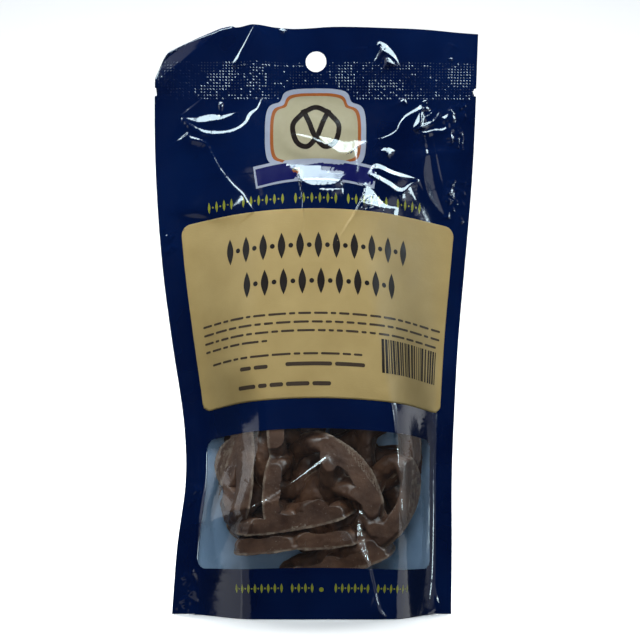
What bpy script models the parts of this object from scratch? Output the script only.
"""A stand-up pouch of chocolate covered pretzels, standing on its opened bottom gusset.

Metres, +Z up. The front faces -Y and the origin is on the ground under the middle of the base.
The pouch is one solid with its side seals, hang hole and tear notches. A pocket behind the clear
window holds the heap of pretzels that shows there, and the paper label lies on the front.
"""

import math
import random

import bpy
import numpy as np
from mathutils import Matrix, Vector

MM = 0.001

# Sizes of the empty film, and heights up the middle of the front
FLAT_HALF_WIDTH = 63.5 * MM
HEIGHT = 229 * MM
SEAL_THICKNESS = 0.9 * MM
HOLE_HEIGHT = 215.6 * MM
HOLE_RADIUS = 4.1 * MM
NOTCH_HEIGHT = 203.5 * MM
NOTCH_DEPTH = 1.6 * MM
NOTCH_HALF_HEIGHT = 2.2 * MM
HOLE_SIDES = 24

# The filled pouch at several heights, each a (height, size) pair
LEFT_HALF_WIDTHS = [
    (0, 56.2), (30, 54.2), (60, 50.8), (84, 51.6), (115, 56), (146, 60), (185, 62.8), (229, 62.4)
]
RIGHT_HALF_WIDTHS = [
    (0, 52.7), (30, 53), (60, 53), (84, 53.8), (115, 55.4), (146, 58.1), (185, 61.6), (229, 63.2)
]
HALF_DEPTHS = [
    (0, 15.5), (20, 18.5), (45, 22), (84, 21.5), (115, 19.5),
    (146, 15.5), (170, 10.5), (188, 4.5), (201, 0), (229, 0)
]
# Where the bulge starts to fall and where it meets the side seal, as shares of the half width
LEFT_CROWN_ENDS = [
    (0, 0.43), (22, 0.47), (43, 0.52), (66, 0.38), (82, 0.36), (100, 0.42), (146, 0.26), (201, 0.0),
    (229, 0.0)
]
RIGHT_CROWN_ENDS = [(0, 0.57), (60, 0.58), (100, 0.45), (146, 0.24), (201, 0.0), (229, 0.0)]
SLOPE_ENDS = [(0, 0.90), (84, 0.90), (146, 0.93), (201, 1.0), (229, 1.0)]
# How much lower a level line of the print lies at the side edge than in the middle
ARCH_DROPS = [(0, 0), (20, 3.0), (73, 8), (154, 9), (201, 0), (229, 0)]
CROWN_FALL = 0.10

# How far the header's top edge dips below the full height, each a (distance across, dip) pair
TOP_DIPS = [
    (-63.5, 0.8), (-31, 0.3), (-25, -0.9), (-16, 0.4), (-8, 0.9),
    (9, -0.2), (33, 0.6), (45, 1.3), (56, 2.4), (63.5, 3.0)
]
TOP_DIPS_FOOT = 190 * MM

# The header's left corner folds back: where the fold starts, each a (distance across, height) pair
FOLD_FEET = [
    (-63.5, 206), (-59.6, 215.4), (-57, 217.4), (-49.2, 220.7), (-38.8, 224.2), (-31.7, 226.1),
    (-22, 231), (63.5, 235)
]
FOLD_RADIUS = 3.2 * MM
FOLD_ANGLE = math.radians(112)
# The flat corner in front of the fold leans back beyond this crease, from point to point
LEAN_CREASE = ((-60.8, 208.9), (-42.1, 224.6))
LEAN_SLOPE = 0.34

# The crumpled film above the label: flat facets, and the heights and half widths over which they
# fade in and out
FACET_COUNT = 9
FACET_STEEPNESS = 0.16
FACET_SPREAD = 60
FACET_HEIGHTS = (140, 215)
FACET_FADE_IN = (138, 165)
FACET_FADE_OUT = (190, 202)
FACET_FADE_SIDES = (46, 60)
FACET_SOFTNESS = 0.5
FACET_SHARE = 0.42
FACET_SEEDS = {-1: 3, 1: 8}

# The flat header's waves, front to back: (size and millimetres for one radian, turn at the middle)
HEADER_WAVES = [(1.1, 17, 0.6), (0.5, 7.3, 0.0)]

# Bottom gusset
RIM_WIDTH = 1.6 * MM
GUSSET_RISE = 7 * MM
GUSSET_ROWS = 8

# Mesh density: columns as shares of the half width, closest where the film bends
COLUMN_SHARES = [0, 0.14, 0.27, 0.38, 0.47, 0.55, 0.63, 0.71, 0.79, 0.86, 0.92, 1]
FILM_ROWS = 26
HEADER_ROWS = 14
HEADER_FROM = 203 * MM
SECTION_SAMPLES = 120

# Clear window, in film coordinates across and up the front
WINDOW_LEFT, WINDOW_RIGHT = -54.5 * MM, 54.0 * MM
WINDOW_LOW, WINDOW_TOP = 20 * MM, 73.5 * MM
WINDOW_CORNER = 4 * MM
WINDOW_FILM = 0.7 * MM
GAP = 0.35 * MM
HEAP_CLEARANCE = 0.6 * MM
POCKET_BACK = 12 * MM
POCKET_WALL = 2.0 * MM
WINDOW_ROWS = 7
CUTTER_REACH = 10 * MM
POCKET_CUTTER_FRONT = -6 * MM

# The outer columns of a panel, wider than its rounded corners
PANEL_EDGE = 4.8 * MM

# Paper label, in film coordinates
LABEL_LEFT, LABEL_RIGHT = -55.0 * MM, 58.0 * MM
LABEL_LOW, LABEL_TOP = 85 * MM, 157.5 * MM
LABEL_CORNER = 4.5 * MM
LABEL_THICKNESS = 0.5 * MM
LABEL_LIFT = 0.5 * MM
LABEL_ROWS = 8

# One pretzel: half of its rope's route as shares of its half width, from the free end to the belly
PRETZEL_HALF_WIDTH = 19.5 * MM
ROPE_RADIUS = 3.8 * MM
ROPE_SIDES = 6
ROPE_END_RADIUS = 0.72
ROPE_TIP = 0.6
ARM_RADIUS = 0.92
ARM_LIFTS = (1.0, 0.35)
ARM_ROUTE = [
    (0.50, -0.70, 0.9), (0.22, -0.30, 0.75), (-0.02, 0.05, 0.55), (-0.24, 0.42, 0.2), (-0.50, 0.68, 0.0)
]
BELLY_ROUTE = [
    (-0.38, 0.60, 0.0), (-0.62, 0.74, 0.0), (-0.90, 0.55, 0.0), (-1.0, 0.10, 0.0), (-0.82, -0.42, 0.0),
    (-0.42, -0.78, 0.0), (0.0, -0.86, 0.0)
]

# The pretzels that show through the window: middle across, depth and height in millimetres, then its
# spin about its own axis, nod forwards, turn about the vertical and roll, in degrees
PRETZELS = [
    ("right_top", 18.5, -7, 71, (150, 8, -12, 0)),
    ("right_low", 19, -8, 46, (8, -12, -38, 4)),
    ("middle_top", 6.5, -11, 51, (180, 50, 0, 52)),
    ("middle_low", 12, -1, 40, (200, 22, 10, 0)),
    ("top_back", -4, -3, 65, (30, 6, 38, 0)),
    ("left_top", -14, -10, 60, (80, 0, 80, 3)),
    ("left_side", -31, -4, 55, (10, 0, -78, 2)),
    ("left_middle", -20, -3, 51, (120, 10, 30, 10)),
    ("front_middle", -8.5, -11, 39, (0, -84, 4, -11)),
    ("front_low", -8, -11, 30, (180, -86, -4, -5)),
    ("front_foot", 9, -9, 22.5, (20, -82, 0, -16)),
]

# The plain middle of the heap, behind the pretzels
CORE_HALF_WIDTH = 37 * MM
CORE_LOW, CORE_TOP = 22.5 * MM, 70 * MM
CORE_CORNER = 7 * MM
CORE_ROWS = 3
CORE_FRONT, CORE_BACK = -4.5 * MM, 10 * MM

NAVY = (0.006, 0.012, 0.05)
TAN = (0.46, 0.36, 0.19)
CHOCOLATE = (0.06, 0.03, 0.018)
CLEAR = (0.8, 0.85, 0.9)


def clear_scene():
    for obj in list(bpy.data.objects):
        bpy.data.objects.remove(obj)


def level(pairs, height):
    """A size at this height, on a smooth curve through (height, size) pairs in millimetres."""
    at = height / MM
    heights = [p[0] for p in pairs]
    sizes = [p[1] for p in pairs]
    if at <= heights[0]:
        return sizes[0]
    if at >= heights[-1]:
        return sizes[-1]
    k = max(i for i, h in enumerate(heights) if h <= at)
    k = min(k, len(pairs) - 2)

    def slope(i):
        a, b = max(i - 1, 0), min(i + 1, len(pairs) - 1)
        return (sizes[b] - sizes[a]) / (heights[b] - heights[a])

    run = heights[k + 1] - heights[k]
    t = (at - heights[k]) / run
    return (
        (2 * t**3 - 3 * t**2 + 1) * sizes[k]
        + (t**3 - 2 * t**2 + t) * run * slope(k)
        + (3 * t**2 - 2 * t**3) * sizes[k + 1]
        + (t**3 - t**2) * run * slope(k + 1)
    )


def smooth(low, high, x):
    t = min(max((x - low) / (high - low), 0.0), 1.0)
    return t * t * (3 - 2 * t)


def half_section(height, left):
    """Half of a level cut through the front, from the middle out: film length, across and bulge."""
    half_width = level(LEFT_HALF_WIDTHS if left else RIGHT_HALF_WIDTHS, height) * MM
    depth = max(level(HALF_DEPTHS, height), 0.0) * MM
    crown = max(level(LEFT_CROWN_ENDS if left else RIGHT_CROWN_ENDS, height), 0.0)
    foot = level(SLOPE_ENDS, height)
    share = np.linspace(0, 1, SECTION_SAMPLES + 1)
    fall = np.clip((share - crown) / (foot - crown), 0, 1)
    bulge = depth * (1 - fall * fall * (3 - 2 * fall)) * (1 - CROWN_FALL * share**2)
    across = share * half_width
    steps = np.hypot(np.diff(across), np.diff(bulge))
    length = np.concatenate([[0], np.cumsum(steps)])
    return length * (FLAT_HALF_WIDTH / length[-1]), across, bulge


def facet_planes(seed):
    """Two sets of random planes, each a (middle, slope across, slope up)."""
    draw = random.Random(seed)
    sets = []
    for _ in range(2):
        planes = []
        for _ in range(FACET_COUNT):
            middle = (draw.uniform(-FACET_SPREAD, FACET_SPREAD), draw.uniform(*FACET_HEIGHTS))
            slope_across = draw.uniform(-FACET_STEEPNESS, FACET_STEEPNESS)
            planes.append((middle, slope_across, draw.uniform(-FACET_STEEPNESS, FACET_STEEPNESS)))
        sets.append(planes)
    return sets


FACETS = {side: facet_planes(seed) for side, seed in FACET_SEEDS.items()}


def facet_relief(side, u, v):
    """How far the crumpled film above the label stands out: one soft maximum of planes less another."""
    at = (u / MM, v / MM)
    tops = []
    for planes in FACETS[side]:
        values = [gx * (at[0] - p[0]) + gz * (at[1] - p[1]) for p, gx, gz in planes]
        high = max(values)
        spread = sum(math.exp((x - high) / FACET_SOFTNESS) for x in values)
        tops.append(high + FACET_SOFTNESS * math.log(spread))
    share = smooth(*FACET_FADE_IN, at[1]) * (1 - smooth(*FACET_FADE_OUT, at[1]))
    share *= 1 - smooth(*FACET_FADE_SIDES, abs(at[0]))
    return FACET_SHARE * (tops[0] - tops[1]) * share * MM


def header_wave(u, v):
    """The flat header's gentle wave and its leaning corner, front to back."""
    strength = smooth(185 * MM, 215 * MM, v)
    wave = strength * sum(size * math.sin(u / MM / run + turn) for size, run, turn in HEADER_WAVES)
    (left, low), (right, high) = LEAN_CREASE
    beyond = (right - left) * (v / MM - low) - (high - low) * (u / MM - left)
    beyond /= math.hypot(right - left, high - low)
    return (wave + LEAN_SLOPE * max(beyond, 0.0)) * MM


def fold_back(u, y, z):
    """Folds the header's left corner back about a line across it, keeping the film's thickness."""
    foot = level(FOLD_FEET, u) * MM
    rise = z - foot
    if rise <= 0:
        return y, z
    angle = min(rise / FOLD_RADIUS, FOLD_ANGLE)
    straight = rise - angle * FOLD_RADIUS
    up = FOLD_RADIUS * math.sin(angle) + straight * math.cos(angle)
    back = FOLD_RADIUS * (1 - math.cos(angle)) + straight * math.sin(angle)
    return y * math.cos(angle) + back, foot + up - y * math.sin(angle)


def film_point(side, u, v, out=0.0):
    """A point of the outer face. side is -1 for the front and 1 for the back.

    u runs across the flat film from seal to seal, and v runs up its middle from the base.
    """
    length, across, bulge = half_section(v, u < 0)
    x = math.copysign(np.interp(abs(u), length, across), u)
    y = np.interp(abs(u), length, bulge) + SEAL_THICKNESS / 2 + facet_relief(side, u, v) + out
    z = v - level(ARCH_DROPS, v) * MM * (u / FLAT_HALF_WIDTH) ** 2
    share = max(0.0, (v - TOP_DIPS_FOOT) / (HEIGHT - TOP_DIPS_FOOT))
    z -= level(TOP_DIPS, u) * MM * share**2
    y, z = fold_back(u, side * y + header_wave(u, v), z)
    return Vector((x, y, z))


def material(name, colour, roughness, alpha=1.0):
    made = bpy.data.materials.new(name)
    made.use_nodes = True
    shader = made.node_tree.nodes["Principled BSDF"]
    shader.inputs["Base Color"].default_value = (*colour, 1)
    shader.inputs["Roughness"].default_value = roughness
    shader.inputs["Alpha"].default_value = alpha
    return made


def new_object(name, vertices, faces, finish=None, smooth_shading=True):
    mesh = bpy.data.meshes.new(name)
    mesh.from_pydata([tuple(v) for v in vertices], [], faces)
    mesh.update()
    obj = bpy.data.objects.new(name, mesh)
    bpy.context.scene.collection.objects.link(obj)
    if finish:
        mesh.materials.append(finish)
    if smooth_shading:
        mesh.shade_smooth()
        mesh.set_sharp_from_angle(angle=math.radians(50))
    return obj


def apply_modifiers(obj):
    graph = bpy.context.evaluated_depsgraph_get()
    made = bpy.data.meshes.new_from_object(obj.evaluated_get(graph))
    obj.modifiers.clear()
    obj.data = made


def add_boolean(obj, cutter, operation, solver="EXACT"):
    step = obj.modifiers.new(operation.lower(), "BOOLEAN")
    step.operation = operation
    step.object = cutter
    step.solver = solver


def helper(obj):
    """Keeps a cutter out of the finished part."""
    obj.hide_render = True
    obj.display_type = "WIRE"
    return obj


def film_columns(left, right):
    """The pouch's columns between two film coordinates, with these as the ends."""
    shares = [-s for s in reversed(COLUMN_SHARES[1:])] + COLUMN_SHARES
    places = [s * FLAT_HALF_WIDTH for s in shares]
    inner = [u for u in places if left + PANEL_EDGE < u < right - PANEL_EDGE]
    return [left, *inner, right]


def pouch_mesh(finish):
    """The closed outer shape: front, back, side and top edges, and the folded-in base."""
    us = film_columns(-FLAT_HALF_WIDTH, FLAT_HALF_WIDTH)
    vs = [HEADER_FROM * j / FILM_ROWS for j in range(FILM_ROWS)]
    vs += [HEADER_FROM + (HEIGHT - HEADER_FROM) * j / HEADER_ROWS for j in range(HEADER_ROWS + 1)]
    columns, rows = len(us) - 1, len(vs) - 1
    vertices, faces = [], []
    index = {}
    for side in (-1, 1):
        for j, v in enumerate(vs):
            for i, u in enumerate(us):
                index[side, i, j] = len(vertices)
                vertices.append(film_point(side, u, v))
    for side in (-1, 1):
        for j in range(rows):
            for i in range(columns):
                corners = ((i, j), (i + 1, j), (i + 1, j + 1), (i, j + 1))
                quad = tuple(index[side, a, b] for a, b in corners)
                faces.append(quad if side < 0 else quad[::-1])
    for j in range(rows):
        for i, near, far in ((0, 1, -1), (columns, -1, 1)):
            faces.append((index[near, i, j], index[far, i, j], index[far, i, j + 1], index[near, i, j + 1]))
    for i in range(columns):
        faces.append((index[-1, i, rows], index[-1, i + 1, rows], index[1, i + 1, rows], index[1, i, rows]))
    base_rows = [[index[-1, i, 0] for i in range(columns + 1)]]
    widest = 2 * HALF_DEPTHS[0][1] * MM
    for k in range(1, GUSSET_ROWS):
        base_rows.append([])
        for i in range(columns + 1):
            if i in (0, columns):
                base_rows[-1].append(None)
                continue
            front, back = vertices[index[-1, i, 0]], vertices[index[1, i, 0]]
            width = back.y - front.y
            rim = min(RIM_WIDTH, width / 3)
            inner = (k - 1) / (GUSSET_ROWS - 2)
            share = (rim + inner * (width - 2 * rim)) / width
            place = front.lerp(back, share)
            ridge = 1 - abs(2 * inner - 1)
            place.z += GUSSET_RISE * ridge * min(1.0, (width / widest) ** 1.2)
            base_rows[-1].append(len(vertices))
            vertices.append(place)
    base_rows.append([index[1, i, 0] for i in range(columns + 1)])
    for k in range(GUSSET_ROWS):
        low, high = base_rows[k], base_rows[k + 1]
        for i in range(1, columns - 1):
            faces.append((low[i], high[i], high[i + 1], low[i + 1]))
    for i, inner in ((0, 1), (columns, columns - 1)):
        chain = [row[inner] for row in base_rows]
        front, back = index[-1, i, 0], index[1, i, 0]
        middle = len(chain) // 2
        fan = []
        for a, b in zip(chain[:middle], chain[1:middle + 1]):
            fan.append((front, a, b))
        fan.append((front, chain[middle], back))
        for a, b in zip(chain[middle:], chain[middle + 1:]):
            fan.append((back, a, b))
        faces.extend(fan if i == columns else [f[::-1] for f in fan])
    return new_object("pouch", vertices, faces, finish)


def rounded_rows(left, right, low, top, corner, rows, grow=0.0):
    """Levels of a rectangle with rounded corners, each (v, left end, right end)."""
    left, right, low, top, corner = left - grow, right + grow, low - grow, top + grow, corner + grow
    turns = 3
    edge = [corner * (1 - math.cos(math.pi / 2 * k / turns)) for k in range(turns + 1)]
    straight = [corner + (top - low - 2 * corner) * k / rows for k in range(1, rows)]
    heights = edge + straight + [top - low - e for e in reversed(edge)]
    made = []
    for h in heights:
        near = min(h, top - low - h)
        inset = corner - math.sqrt(max(corner**2 - (corner - min(near, corner)) ** 2, 0.0))
        made.append((low + h, left + inset, right - inset))
    return made


def panel(name, levels, place_front, place_back, finish=None):
    """A closed thin solid between two faces over a rounded outline. place(u, v) gives each face's point."""
    vertices, faces = [], []
    widest = film_columns(min(row[1] for row in levels), max(row[2] for row in levels))
    rows, across = len(levels), len(widest)
    columns = across - 1
    for place in (place_front, place_back):
        for v, left, right in levels:
            for u in [left, *widest[1:-1], right]:
                vertices.append(place(u, v))
    back = rows * across
    for j in range(rows - 1):
        for i in range(columns):
            a = j * across + i
            quad = (a, a + 1, a + across + 1, a + across)
            faces.append(quad)
            faces.append(tuple(back + k for k in reversed(quad)))
    ring = [i for i in range(across)]
    ring += [j * across + columns for j in range(1, rows)]
    ring += [(rows - 1) * across + i for i in range(columns - 1, -1, -1)]
    ring += [j * across for j in range(rows - 2, 0, -1)]
    for a, b in zip(ring, ring[1:] + ring[:1]):
        faces.append((b, a, a + back, b + back))
    return new_object(name, vertices, faces, finish)


def pocket_back(u, v, clearance):
    """A point of the pocket's back face, kept inside the back film."""
    place = film_point(-1, u, v)
    place.y = min(POCKET_BACK, film_point(1, u, v).y - POCKET_WALL) - clearance
    return place


def window_levels(grow):
    return rounded_rows(WINDOW_LEFT, WINDOW_RIGHT, WINDOW_LOW, WINDOW_TOP, WINDOW_CORNER, WINDOW_ROWS, grow)


def pocket_space(name, grow, front_shift, clearance):
    """The space behind the window. front_shift moves its front face back from the film's outer face."""
    return panel(
        name,
        window_levels(grow),
        lambda u, v: film_point(-1, u, v) + Vector((0, front_shift, 0)),
        lambda u, v: pocket_back(u, v, clearance),
    )


def prism(name, outline, reach):
    """A closed prism along Y over an outline of (x, z) points, counter-clockwise seen from the front."""
    count = len(outline)
    vertices = [(x, -reach, z) for x, z in outline] + [(x, reach, z) for x, z in outline]
    faces = [tuple(range(count)), tuple(range(2 * count - 1, count - 1, -1))]
    faces += [((i + 1) % count, i, i + count, (i + 1) % count + count) for i in range(count)]
    return helper(new_object(name, vertices, faces, smooth_shading=False))


def cut_hole_and_notches(pouch):
    angles = [2 * math.pi * k / HOLE_SIDES for k in range(HOLE_SIDES)]
    hole = [(HOLE_RADIUS * math.cos(a), HOLE_HEIGHT + HOLE_RADIUS * math.sin(a)) for a in angles]
    cutters = [prism("hole_cutter", hole, CUTTER_REACH)]
    for name, sign in (("left_notch_cutter", -1), ("right_notch_cutter", 1)):
        edge = film_point(-1, sign * FLAT_HALF_WIDTH, NOTCH_HEIGHT).x
        tip = (edge - sign * NOTCH_DEPTH, NOTCH_HEIGHT)
        wide = [(edge + sign * 2 * MM, NOTCH_HEIGHT + k * NOTCH_HALF_HEIGHT) for k in (-1, 1)]
        outline = [tip, *wide] if sign > 0 else [tip, *reversed(wide)]
        cutters.append(prism(name, outline, CUTTER_REACH))
    for cutter in cutters:
        add_boolean(pouch, cutter, "DIFFERENCE")


def smooth_route(points, per_span):
    """Points on a smooth curve through the given ones."""
    ends = [2 * points[0] - points[1], *points, 2 * points[-1] - points[-2]]
    made = []
    for a, b, c, d in zip(ends, ends[1:], ends[2:], ends[3:]):
        for k in range(per_span):
            t = k / per_span
            curved = (2 * a - 5 * b + 4 * c - d) * t**2 + (3 * b - a - 3 * c + d) * t**3
            made.append(0.5 * (2 * b + (c - a) * t + curved))
    return [*made, points[-1]]


def rope(name, route, radius):
    """A closed tube with rounded ends along a route."""
    vertices, faces = [], []
    rings = len(route)
    side = Vector((0, 0, 1))
    for k, at in enumerate(route):
        ahead = (route[min(k + 1, rings - 1)] - route[max(k - 1, 0)]).normalized()
        across = ahead.cross(side).normalized()
        over = across.cross(ahead)
        size = radius * (ROPE_END_RADIUS if k in (0, rings - 1) else 1.0)
        for s in range(ROPE_SIDES):
            angle = 2 * math.pi * (s + 0.25) / ROPE_SIDES
            vertices.append(at + size * (math.cos(angle) * across + math.sin(angle) * over))
    for k in range(rings - 1):
        for s in range(ROPE_SIDES):
            a, b = k * ROPE_SIDES + s, k * ROPE_SIDES + (s + 1) % ROPE_SIDES
            faces.append((b, a, a + ROPE_SIDES, b + ROPE_SIDES))
    for k, nxt, flip in ((0, 1, True), (rings - 1, rings - 2, False)):
        tip = len(vertices)
        vertices.append(route[k] + (route[k] - route[nxt]).normalized() * radius * ROPE_TIP)
        ring = [k * ROPE_SIDES + s for s in range(ROPE_SIDES)]
        for a, b in zip(ring, ring[1:] + ring[:1]):
            faces.append((a, b, tip) if flip else (b, a, tip))
    return new_object(name, vertices, faces)


def pretzel_ropes(name, place):
    """Three overlapping ropes of one pretzel: the belly with both lobes, and the two crossing arms."""
    half = PRETZEL_HALF_WIDTH

    def route(shares, sign, lift):
        return [Vector((sign * x * half, y * half, h * lift * ROPE_RADIUS)) for x, y, h in shares]

    left, right = (route(BELLY_ROUTE, sign, 1) for sign in (1, -1))
    made = [rope(name + "_belly", smooth_route(left + right[-2::-1], 2), ROPE_RADIUS)]
    for sign, lift in zip((1, -1), ARM_LIFTS):
        arm = smooth_route(route(ARM_ROUTE, sign, lift), 2)
        made.append(rope(f"{name}_arm_{lift}", arm, ROPE_RADIUS * ARM_RADIUS))
    for obj in made:
        obj.data.transform(place)
    return made


def pretzel_place(x, y, z, turns):
    """Stands a flat pretzel up facing the front, then turns it."""
    spin, nod, turn, roll = (math.radians(t) for t in turns)
    place = Matrix.Translation(Vector((x, y, z)) * MM)
    place @= Matrix.Rotation(roll, 4, "Y") @ Matrix.Rotation(turn, 4, "Z")
    return place @ Matrix.Rotation(math.pi / 2 + nod, 4, "X") @ Matrix.Rotation(spin, 4, "Z")


def pretzel_heap(finish):
    """The heap that shows in the window: pretzels fused on a core, all inside the pocket."""
    pieces = []
    for name, x, y, z, turns in PRETZELS:
        pieces += pretzel_ropes(name, pretzel_place(x, y, z, turns))
    core = panel(
        "pretzel_heap",
        rounded_rows(-CORE_HALF_WIDTH, CORE_HALF_WIDTH, CORE_LOW, CORE_TOP, CORE_CORNER, CORE_ROWS),
        lambda u, v: Vector((u, CORE_FRONT, v)),
        lambda u, v: Vector((u, CORE_BACK, v)),
        finish,
    )
    group = bpy.data.collections.new("heap_pieces")
    bpy.context.scene.collection.children.link(group)
    for obj in pieces:
        bpy.context.scene.collection.objects.unlink(obj)
        group.objects.link(obj)
    join = core.modifiers.new("join", "BOOLEAN")
    join.operation = "UNION"
    join.operand_type = "COLLECTION"
    join.collection = group
    join.solver = "MANIFOLD"
    room = pocket_space("heap_room", -GAP, WINDOW_FILM + HEAP_CLEARANCE, GAP)
    add_boolean(core, room, "INTERSECT", "MANIFOLD")
    apply_modifiers(core)
    for obj in [*pieces, room]:
        bpy.data.objects.remove(obj)
    bpy.data.collections.remove(group)
    return core


def main():
    clear_scene()
    film = material("navy_film", NAVY, 0.15)
    pouch = pouch_mesh(film)
    add_boolean(pouch, helper(pocket_space("pocket_cutter", 0.0, POCKET_CUTTER_FRONT, 0.0)), "DIFFERENCE")
    cut_hole_and_notches(pouch)
    panel(
        "window_film",
        window_levels(-GAP),
        lambda u, v: film_point(-1, u, v),
        lambda u, v: film_point(-1, u, v) + Vector((0, WINDOW_FILM, 0)),
        material("clear_film", CLEAR, 0.08, 0.3),
    )
    panel(
        "label",
        rounded_rows(LABEL_LEFT, LABEL_RIGHT, LABEL_LOW, LABEL_TOP, LABEL_CORNER, LABEL_ROWS),
        lambda u, v: film_point(-1, u, v, LABEL_LIFT + LABEL_THICKNESS),
        lambda u, v: film_point(-1, u, v, LABEL_LIFT),
        material("label_paper", TAN, 0.5),
    )
    pretzel_heap(material("chocolate", CHOCOLATE, 0.45))


main()
